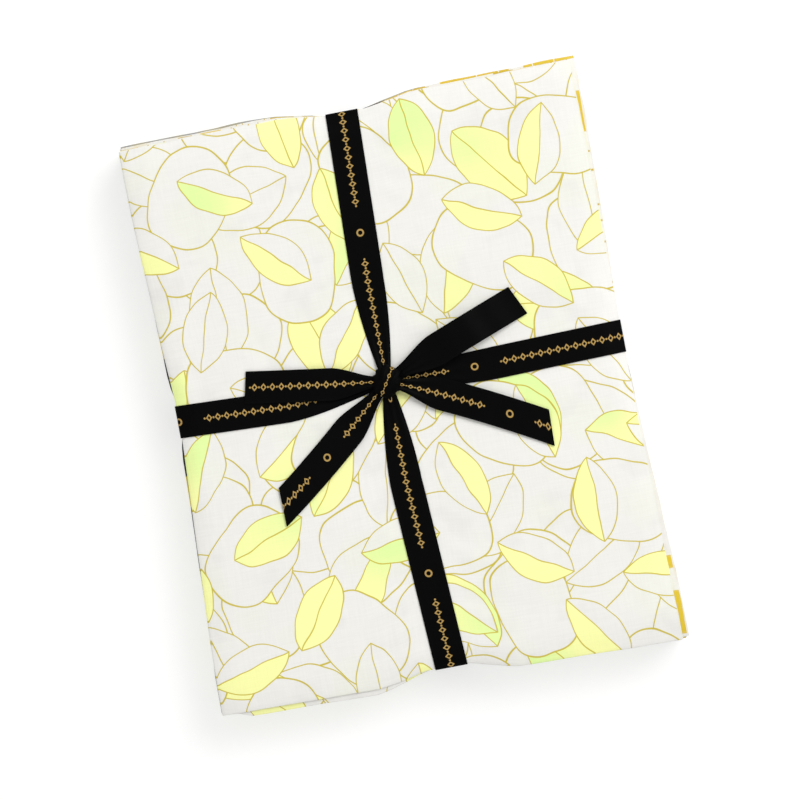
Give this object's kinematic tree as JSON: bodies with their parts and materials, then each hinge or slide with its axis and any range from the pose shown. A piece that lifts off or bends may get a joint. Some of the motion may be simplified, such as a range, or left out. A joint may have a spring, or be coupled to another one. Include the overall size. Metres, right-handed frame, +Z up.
{
  "type": "fat quarter bundle",
  "caption": "Stack of twice-folded cotton fat quarters, tied both ways with a flat ribbon knotted on top, its free ends lying loose.",
  "frame": {"origin": "on the surface it rests on, under the middle of the stack", "axes": "+X across the bundle towards the cut edges, +Y along it towards the other cut edges, +Z up"},
  "size_m": [0.2332, 0.292, 0.0375],
  "materials": {
    "printed": "matt printed cotton",
    "white": "matt printed cotton",
    "ochre": "matt printed cotton",
    "lemon": "matt printed cotton",
    "lime": "matt printed cotton",
    "mint": "matt printed cotton",
    "grey": "matt printed cotton",
    "taupe": "matt printed cotton",
    "olive": "matt printed cotton",
    "charcoal": "matt printed cotton",
    "ribbon": "woven satin ribbon, matt gold print on one side"
  },
  "bodies": {
    "root": {"quarter_01": "charcoal", "quarter_02": "lime", "quarter_03": "taupe", "quarter_04": "white", "quarter_05": "mint", "quarter_06": "ochre", "quarter_07": "grey", "quarter_08": "lemon", "quarter_09": "taupe", "quarter_10": "olive", "quarter_11": "charcoal", "quarter_12": "ochre", "quarter_13": "white", "quarter_14": "printed", "ribbon_lengthwise": "ribbon", "ribbon_crosswise": "ribbon", "ribbon_knot": "ribbon", "tail_left": "ribbon", "tail_upper_right": "ribbon", "tail_lower_right": "ribbon", "tail_lower_left": "ribbon"}
  },
  "joints": []
}
